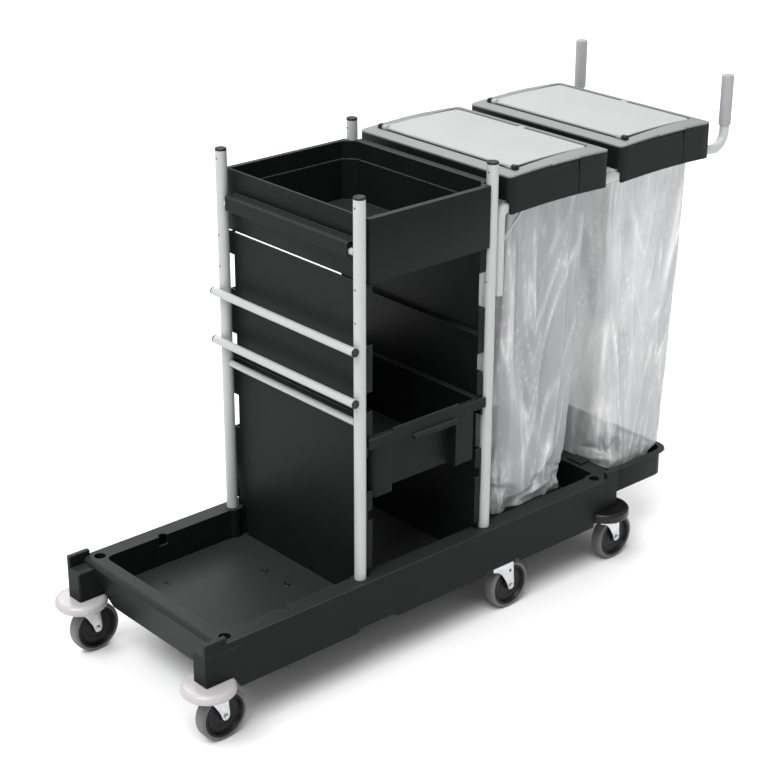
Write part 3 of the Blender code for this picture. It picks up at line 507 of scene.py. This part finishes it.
def bumper_rear(name):
    """A soft disc with a shallow dish in its top and its foot, wrapped round the base's rear corner."""
    node = f"rear_bumper_{name}"
    axle = middle_of(f"castor_tyre_rear_{name}")
    low, high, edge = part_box(node)[0].z + 0.0002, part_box(node)[1].z - 0.0002, 0.0636
    profile = [(0, high - 0.0012), (edge - 0.0200, high - 0.0012), (edge - 0.0180, high)]
    profile += arc((edge - 0.0075, high - 0.0075), 0.0075, 84, 6, 8)
    profile += [(r, low + high - z) for r, z in reversed(profile)]
    disc = moved(turned(profile, 80, closed=False), (axle.x - TRAIL, axle.y, 0))
    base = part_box("base_tray")[1]
    wall = base.y + 0.0003
    end = base.x + 0.0003
    room = slab([(end - 0.5, -wall), (end, -wall), (end, wall), (end - 0.5, wall)], 0.1, 0.2)
    show(node + "_disc", bored(disc, [room], node), "rubber", "frame", [node], sharp=40)


def castors_and_bumpers():
    for name, _ in SIDES:
        for row in CASTOR_ROWS:
            wheel(row, name)
            fork(row, name)
        bumper_front(name)
        bumper_rear(name)


# ---- Posts, tubes and rails ---------------------------------------------------------------------------
def pipe_profile(radius, wall, low, high, lip=0.0004):
    inner = radius - wall
    outside = [(inner, high - lip), (inner + lip, high), (radius - lip, high), (radius, high - lip)]
    return outside + [(radius, low + lip), (radius - lip, low), (inner + lip, low), (inner, low + lip)]


def posts():
    holes = (1.152, 0.9655, 0.888)
    drill = [(0, 0.008), (0.0026, 0.008), (0.0026, -0.008), (0, -0.008)]
    for row in ("front", "rear"):
        for name, _ in SIDES:
            node, cap_node = f"post_{row}_{name}", f"post_cap_{row}_{name}"
            low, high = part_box(node)
            centre, radius = (low + high) / 2, (high.x - low.x) / 2
            shape = moved(turned(pipe_profile(radius, 0.0015, low.z, high.z)), (centre.x, centre.y, 0))
            side_on = Matrix.Rotation(math.pi / 2, 4, "Y")
            cutters = [
                moved(turned(drill, 20, closed=False), (centre.x - radius, centre.y, z), side_on)
                for z in holes
            ]
            show(node + "_tube", bored(shape, cutters, node), "paint", "frame", [node])
            dish = [(0, 0.0038), (0.0080, 0.0040), (0.0092, 0.0052)]
            dish += arc((0.0118, 0.0036), 0.0022, 110, 0, 6)
            dish += [(0.0140, 0.0004), (0.0136, 0.0003), (0.0122, 0.0003), (0.0122, -0.012), (0, -0.012)]
            cap = moved(turned(dish, closed=False), (centre.x, centre.y, high.z))
            piece(cap_node + "_dish", cap, "cap", "frame", [cap_node])
            collar = [(radius + 0.0009, 0.2466), (radius + 0.0035, 0.2466)]
            collar += arc((radius + 0.0035, 0.2473), 0.0007, 0, 90, 3) + [(radius + 0.0009, 0.2480)]
            ring = moved(turned(collar), (centre.x, centre.y, 0))
            piece(node + "_collar", ring, "black", "frame")


def tubes_and_rails():
    across = ("front_upper_tube", "front_lower_tube", "rear_upper_tube", "rear_lower_tube")
    for node in across + ("hanging_rail_upper", "hanging_rail_lower"):
        low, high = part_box(node)
        centre, radius, reach = (low + high) / 2, (high.z - low.z) / 2, high.y
        bar = turned(pipe_profile(radius, 0.0012, -reach, reach), 40)
        shape = moved(bar, (centre.x, 0, centre.z), ALONG_Y)
        piece(node + "_bar", shape, "paint", "frame", [node])
        if node in across:
            continue
        row = node.split("_")[-1]
        plug = [(0, 0.0034), (0.0055, 0.0036), (0.0062, 0.0045)]
        plug += arc((radius - 0.002, 0.0027), 0.002, 100, 0, 6)
        plug += [(radius, 0.0004), (0.0081, 0.0003), (0.0081, -0.010), (0, -0.010)]
        for name, side in SIDES:
            turn = Matrix.Rotation(-side * math.pi / 2, 4, "X")
            shape = moved(turned(plug, 40, closed=False), (centre.x, side * reach, centre.z), turn)
            cap_node = f"rail_cap_{row}_{name}"
            piece(cap_node + "_plug", shape, "cap", "frame", [cap_node])


def filleted(route, radii, steps=12):
    """A route of straight runs whose corners are arcs. radii has one radius for each inner point, or 0."""
    points = [Vector(route[0])]
    for before, corner, after, radius in zip(route, route[1:], route[2:], radii):
        corner = Vector(corner)
        if not radius:
            points.append(corner)
            continue
        back = (Vector(before) - corner).normalized()
        on = (Vector(after) - corner).normalized()
        half = back.angle(on) / 2
        centre = corner + (back + on).normalized() * radius / math.sin(half)
        reach = radius / math.tan(half)
        start, end = corner + back * reach - centre, corner + on * reach - centre
        points += [centre + start.slerp(end, k / steps) * radius for k in range(steps + 1)]
    return points + [Vector(route[-1])]


def swept(route, radius, sides=40):
    """A closed round bar along a route that lies nearly in an upright plane."""
    shape = bmesh.new()
    rings = []
    for k, point in enumerate(route):
        before, after = route[max(k - 1, 0)], route[min(k + 1, len(route) - 1)]
        along = ((point - before).normalized() + (after - point).normalized()).normalized()
        across = Vector((0, 1, 0))
        across = (across - along * across.dot(along)).normalized()
        other = along.cross(across)
        angles = [2 * math.pi * i / sides for i in range(sides)]
        places = [point + (across * math.cos(a) + other * math.sin(a)) * radius for a in angles]
        rings.append([shape.verts.new(place) for place in places])
    for first, second in zip(rings, rings[1:]):
        for i in range(sides):
            after = (i + 1) % sides
            shape.faces.new((first[i], first[after], second[after], second[i]))
    shape.faces.new(rings[0])
    shape.faces.new(rings[-1][::-1])
    return shape


def side_arms():
    """Leg, level tube and handle in one bent tube, with the thin strut across the corner, and the grip."""
    for name, side in SIDES:
        node, grip_node = f"side_arm_{name}", f"handle_grip_{name}"
        low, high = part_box(node)
        radius, level = 0.0125, 1.0565
        y, grip_y = side * 0.245, middle_of(grip_node).y
        leg_x, handle_x = low.x + radius, high.x - radius
        kink = handle_x - 0.0685
        route = [(leg_x, y, low.z), (leg_x, y, level), (kink, y, level), (kink + 0.0275, grip_y, level)]
        route += [(handle_x, grip_y, level), (handle_x, grip_y, high.z)]
        tube = swept(filleted(route, (0.020, 0.06, 0.06, 0.040)), radius)
        bore = [(0, 0.02), (0.0108, 0.02), (0.0108, -0.02), (0, -0.02)]
        hollow = moved(turned(bore, 32, closed=False), (leg_x, y, low.z))
        show(node + "_tube", bored(tube, [hollow], node), "paint", "frame", [node])
        strut = swept([Vector((leg_x + 0.005, y, 0.9690)), Vector((leg_x + 0.087, y, 1.0540))], 0.0030, 20)
        piece(node + "_strut", strut, "paint", "frame")

        low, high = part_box(grip_node)
        centre, outer = (low + high) / 2, (high.x - low.x) / 2
        bottom, top = low.z, high.z
        groove = bottom + 0.011
        profile = [(0, top)] + arc((outer - 0.005, top - 0.005), 0.005, 90, 0, 8)
        profile += [(outer, groove + 0.0022), (outer - 0.0007, groove + 0.0012), (outer - 0.0007, groove)]
        profile += [(outer, groove - 0.001)] + arc((outer - 0.0015, bottom + 0.0015), 0.0015, 0, -90, 4)
        profile += [(radius + 0.0006, bottom), (radius + 0.0006, bottom + 0.004), (0, bottom + 0.004)]
        grip = moved(turned(profile, closed=False), (centre.x, centre.y, 0))
        piece(grip_node + "_sleeve", grip, "grip", "frame", [grip_node])


def hinge_rods():
    for name in ("front", "rear"):
        node = f"hinge_rod_{name}"
        low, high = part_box(node)
        centre, end, radius = (low + high) / 2, high.y, (high.z - low.z) / 2
        knob = [(0, end), (radius - 0.0026, end)] + arc((radius - 0.0026, end - 0.0026), 0.0026, 80, 0, 5)
        knob += [(radius, end - 0.0110), (radius - 0.0006, end - 0.0120), (0.0030, end - 0.0125)]
        shape = moved(turned(both_ways(knob), 32, closed=False), (centre.x, 0, centre.z), ALONG_Y)
        piece(node + "_pin", shape, "cap", "frame", [node])


def floor_rings():
    """The four low raised rings round the holes in the front platform's floor."""
    foot, crest = 0.1672, 0.1684
    profile = [(0.0040, foot), (0.0046, crest), (0.0078, crest), (0.0092, foot)]
    holes = ((-0.6339, 0.151), (-0.6339, -0.151), (-0.4204, 0.043), (-0.4204, -0.043))
    for number, (x, y) in enumerate(holes):
        ring = moved(turned(profile, 32), (x, y, 0))
        piece(f"floor_ring_{number}", ring, "rubber", "frame")


# ---- Bags ---------------------------------------------------------------------------------------------
BAG_AROUND, BAG_DOWN = 176, 132  # the film's grid before it is refined
BAG_FRAMES = 24
MOUTH = [(1.112, 0.049, 0.046, 0.2180, 0.022), (1.105, 0.049, 0.046, 0.2180, 0.022)]
MOUTH += [(1.060, 0.036, 0.031, 0.2250, 0.030), (1.034, 0.022, 0.018, 0.2370, 0.040)]
MOUTH += [(0.980, 0.015, 0.014, 0.2390, 0.045)]
FRONT_FOOT = [(0.620, 0.016, 0.034, 0.2320, 0.040), (0.330, 0.019, 0.046, 0.2190, 0.035)]
FRONT_FOOT += [(0.231, 0.029, 0.050, 0.2100, 0.030)]
REAR_FOOT = [(0.620, 0.034, 0.044, 0.2320, 0.040), (0.330, 0.048, 0.056, 0.2200, 0.035)]
REAR_FOOT += [(0.262, 0.052, 0.062, 0.2180, 0.030), (0.242, 0.057, 0.0765, 0.2150, 0.030)]
REAR_FOOT += [(0.187, 0.062, 0.080, 0.2100, 0.030)]
# Each level is its height, its set-back from the lid frame's front and rear, its half width and its corners.
BAG_LEVELS = {"front": MOUTH + FRONT_FOOT, "rear": MOUTH + REAR_FOOT}


def outline_points(x0, x1, half, corner, count):
    """Points round a rectangle with round corners, the outward directions there and the place on each side.

    The place runs from -1 to 1 along each of the four sides, so it is 0 in the middle of a side.
    """
    centres = ((x1 - corner, half - corner), (x0 + corner, half - corner))
    centres += ((x0 + corner, corner - half), (x1 - corner, corner - half))
    quarter, bend = count // 4, 5
    points, outward, along = [], [], []
    for side in range(4):
        before, after = centres[side - 1], centres[side]
        facing = math.radians(90 * side)
        normal = (math.cos(facing), math.sin(facing))
        for k in range(quarter):
            place = 2 * k / quarter - 1
            into = min(max(abs(place) * quarter / 2 - (quarter / 2 - bend), 0) / bend, 1)
            angle = facing + math.copysign(math.radians(45) * into, place)
            if into > 0:
                centre = after if place > 0 else before
                points.append((centre[0] + corner * math.cos(angle), centre[1] + corner * math.sin(angle)))
            else:
                share = (place * quarter / (quarter - 2 * bend) + 1) / 2
                middle = [a + (b - a) * share for a, b in zip(before, after)]
                points.append((middle[0] + corner * normal[0], middle[1] + corner * normal[1]))
            outward.append((math.cos(angle), math.sin(angle)))
            along.append(place)
    return np.array(points), np.array(outward), np.array(along)


def smooth_noise(grid_u, grid_v, seed, cells_u, cells_v):
    """Seeded noise from -1 to 1 on the bag's grid. It repeats round the bag."""
    random = np.random.default_rng(seed)
    table = random.uniform(-1, 1, (cells_v + 2, cells_u))
    u, v = grid_u * cells_u, grid_v * cells_v
    iu, iv = np.floor(u).astype(int), np.floor(v).astype(int)
    fu, fv = u - iu, v - iv
    fu, fv = fu * fu * (3 - 2 * fu), fv * fv * (3 - 2 * fv)
    a, b = table[iv, iu % cells_u], table[iv, (iu + 1) % cells_u]
    c, d = table[iv + 1, iu % cells_u], table[iv + 1, (iu + 1) % cells_u]
    return (a * (1 - fu) + b * fu) * (1 - fv) + (c * (1 - fu) + d * fu) * fv


def ridged(noise):
    """Noise turned into sharp creases between broad hollows, from 0 to 1."""
    return 1 - np.abs(noise)


def bag_grid(which):
    """Points of the plain bag, top row first, the outward direction at each and its place along its side."""
    low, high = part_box(f"lid_frame_{which}")
    levels = BAG_LEVELS[which]
    heights = np.array([level[0] for level in levels])[::-1]
    columns = [np.array([level[i] for level in levels])[::-1] for i in range(1, 5)]
    z = np.linspace(levels[0][0], levels[-1][0], BAG_DOWN)
    places, outward, along = [], [], []
    for height in z:
        front, rear, half, corner = (np.interp(height, heights, column) for column in columns)
        points, normals, side = outline_points(low.x + front, high.x - rear, half, corner, BAG_AROUND)
        places.append(np.column_stack([points, np.full(BAG_AROUND, height)]))
        outward.append(np.column_stack([normals, np.zeros(BAG_AROUND)]))
        along.append(side)
    return np.array(places), np.array(outward), np.array(along)


def fold_depth(along, seed):
    """How far the film is drawn in, and where its creases are, which the film paints lighter as highlights.

    The folds are swags that hang from the two edges of each side and meet low down in its middle, pleats
    under the rim and a crumple that grows towards the foot.
    """
    v = np.linspace(0, 1, BAG_DOWN)[:, None] * np.ones_like(along)
    face = np.floor(np.arange(BAG_AROUND) / (BAG_AROUND // 4))[None, :] * np.ones_like(along)
    u = np.mod((face + 0.5 + 0.5 * along) / 4, 1)
    drift = 0.30 * smooth_noise(face / 4 + 0.1, v, seed + 7, 8, 2)
    apart = np.abs(along - drift * (1 - along**2))
    window = 1 - np.abs(along) ** 6
    swag = (v + 0.62 * apart**1.25) / 1.75
    loops = smooth_noise(u, swag, seed + 4, 10, 9)
    narrow = smooth_noise(u, swag, seed + 5, 20, 21)
    sides = smooth_noise(np.mod((face + 0.5 + 0.42 * along * (0.7 + 0.6 * v)) / 4, 1), v, seed + 1, 22, 2)
    tall = np.clip(3.2 * v, 0, 1)
    deep = 0.017 * np.abs(loops) ** 0.8 * tall + 0.004 * np.abs(narrow) * tall + 0.006 * np.abs(sides) ** 0.8
    pleats = 0.0040 * ridged(smooth_noise(u, v, seed + 2, 72, 3)) ** 3 * np.clip(1 - 1.6 * v, 0, 1)
    crumple = 0.0024 * ridged(smooth_noise(u, v, seed + 3, 56, 30)) ** 4 * (0.15 + 0.85 * v**3)
    top = np.clip(v / 0.10, 0, 1)
    sharp = ridged(loops) ** 12 * tall + 0.6 * ridged(narrow) ** 9 * tall + 0.4 * ridged(sides) ** 16
    broken = 0.35 + 0.65 * ridged(smooth_noise(u, v, seed + 9, 16, 9)) ** 2
    crease_highlight = np.clip(sharp * broken + 30 * crumple, 0, 1) * top
    return (window * deep + pleats + crumple) * top * top, crease_highlight


def simulate_film(film, pinned):
    """Let the film hang and buckle: it is a little too large for its shape, and held at its rim and foot."""
    cloth = film.modifiers.new("cloth", "CLOTH")
    settings = cloth.settings
    settings.quality = 6
    settings.mass = 0.08
    settings.tension_stiffness = settings.compression_stiffness = 22
    settings.shear_stiffness = 8
    settings.bending_stiffness = 0.25
    settings.tension_damping = settings.compression_damping = 6
    settings.air_damping = 2
    settings.shrink_min = -0.012
    settings.vertex_group_mass = pinned
    cloth.collision_settings.use_collision = False
    cloth.collision_settings.use_self_collision = False
    cloth.point_cache.frame_end = BAG_FRAMES
    scene = bpy.context.scene
    for step in range(1, BAG_FRAMES + 1):
        scene.frame_set(step)
    held = bpy.data.meshes.new_from_object(film.evaluated_get(bpy.context.evaluated_depsgraph_get()))
    places = np.array([vertex.co for vertex in held.vertices])
    film.modifiers.clear()
    scene.frame_set(1)
    bpy.data.meshes.remove(held)
    return places


def bag(which, seed):
    """One hanging bag of clear film, closed at its foot by folded film."""
    node = f"bag_{which}"
    plain, outward, along = bag_grid(which)
    depth, crease_highlight = fold_depth(along, seed)
    start = plain - outward * depth[..., None]
    foot_rows = 9
    foot = start[-1]
    centre = foot.mean(axis=0)
    rows = [start.reshape(-1, 3)]
    for k in range(1, foot_rows + 1):
        share = k / foot_rows
        ring = foot.copy()
        ring[:, 0] += (centre[0] - ring[:, 0]) * share * 0.985
        ring[:, 1] += (centre[1] - ring[:, 1]) * share * 0.25
        rows.append(ring)
    places = np.concatenate(rows)
    count = BAG_DOWN + foot_rows
    faces = []
    for row in range(count - 1):
        for k in range(BAG_AROUND):
            after = (k + 1) % BAG_AROUND
            first, second = row * BAG_AROUND, (row + 1) * BAG_AROUND
            faces.append((first + k, second + k, second + after, first + after))
    mesh = bpy.data.meshes.new(node + "_film")
    mesh.from_pydata(places.tolist(), [], faces)
    # The mask of the creases, which the film paints lighter as a highlight.
    mark = mesh.attributes.new("crease_highlight", "FLOAT", "POINT")
    mark.data.foreach_set("value", np.concatenate([crease_highlight.ravel(), np.tile(crease_highlight[-1], foot_rows)]))
    film = show(node + "_film", mesh, "film", "frame", [node], sharp=180)
    group = film.vertex_groups.new(name="held")
    held_rows = 9
    group.add(list(range(held_rows * BAG_AROUND)), 1.0, "REPLACE")
    group.add(list(range((BAG_DOWN - 2) * BAG_AROUND, count * BAG_AROUND)), 1.0, "REPLACE")
    settled = simulate_film(film, group.name)
    wall = slice(0, BAG_DOWN * BAG_AROUND)
    base, way = plain.reshape(-1, 3), outward.reshape(-1, 3)
    shift = settled[wall] - base
    out = (shift * way).sum(axis=1)
    aside = shift - way * out[:, None]
    # Below the rim the film may bulge out a little, but not where it goes into the lid frame.
    rim = np.clip((1.10 - base[:, 2]) / 0.12, 0, 1)
    out = np.clip(out, -0.034, 0.0035 * rim)
    aside = np.clip(aside, -0.020, 0.020)
    settled[wall] = base + way * out[:, None] + aside
    settled[:, 2] = np.clip(settled[:, 2], base[:, 2].min(), None)
    mesh.vertices.foreach_set("co", settled.astype(np.float32).ravel())
    mesh.update()
    film.vertex_groups.clear()
    refine = film.modifiers.new("refine", "SUBSURF")
    refine.levels = refine.render_levels = 1


# ---- The cart -----------------------------------------------------------------------------------------
PAINTS = make_materials()
make_camera()
make_world()
make_sun("key", (0.55, 0.22, -1.0), 2.6, 40)
make_sun("back", (-0.45, -0.65, -0.9), 1.5, 45)
make_floor()

for plastic in ("base_tray", "extension_tray", "side_panel_front", "side_panel_rear", "top_bin", "drawer"):
    carry(plastic, "black")
for unit in ("front", "rear"):
    carry(f"lid_frame_{unit}", "black")
    carry(f"lid_ring_{unit}", "ring")
    carry(f"lid_flap_{unit}", "flap")
castors_and_bumpers()
posts()
tubes_and_rails()
side_arms()
hinge_rods()
floor_rings()
bag("front", 11)
bag("rear", 47)

bpy.context.scene.view_settings.view_transform = "Standard"
